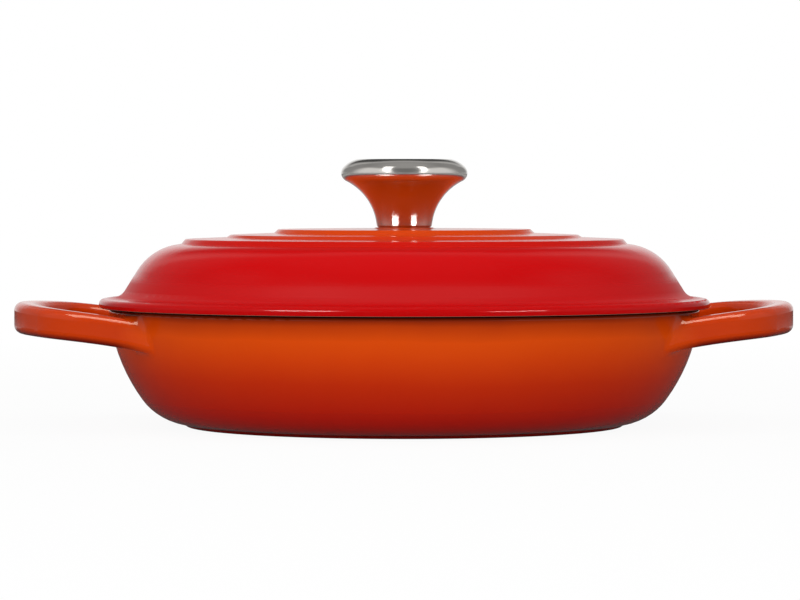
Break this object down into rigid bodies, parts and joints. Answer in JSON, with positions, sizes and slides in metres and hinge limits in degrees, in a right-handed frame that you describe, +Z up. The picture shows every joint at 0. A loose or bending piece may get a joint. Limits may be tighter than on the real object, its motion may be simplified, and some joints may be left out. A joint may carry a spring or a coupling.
{
  "type": "lidded braiser pan",
  "caption": "Low round enamelled iron braiser with two loop handles, a domed lid with ringed crown and a flared hollow steel knob held by a screw from below.",
  "frame": {"origin": "centre of the foot ring, on the surface that the pan stands on", "axes": "+Z up along the pan's axis, +X towards one of the two handles"},
  "size_m": [0.2896, 0.227, 0.099],
  "materials": {
    "pan_enamel": "glossy orange enamel",
    "lid_enamel": "glossy red enamel",
    "knob_steel": "polished",
    "cap_steel": "turned satin",
    "insert_steel": "machined",
    "screw_steel": "plain",
    "washer_steel": "plain"
  },
  "bodies": {
    "pan": {"pan": "pan_enamel"},
    "lid": {"lid": "lid_enamel", "knob_washer": "washer_steel"},
    "screw": {"knob_screw": "screw_steel"},
    "knob": {"knob_body": "knob_steel", "knob_cap": "cap_steel", "knob_insert": "insert_steel"}
  },
  "joints": [
    {"name": "lid_lift", "type": "slide", "parent": "pan", "child": "lid", "axis": [0, 0, 1], "range_m": [0, 0.15]},
    {"name": "screw_turn", "type": "hinge", "parent": "lid", "child": "screw", "pos_m": [0, 0, 0.07], "axis": [0, 0, -1], "range_deg": [0, 2520]},
    {"name": "knob_rise", "type": "slide", "parent": "lid", "child": "knob", "axis": [0, 0, 1], "range_m": [0, 0.007]}
  ],
  "couplings": [
    {"joint": "screw_turn", "follows": "knob_rise", "rad_per_m": 6283.2}
  ]
}
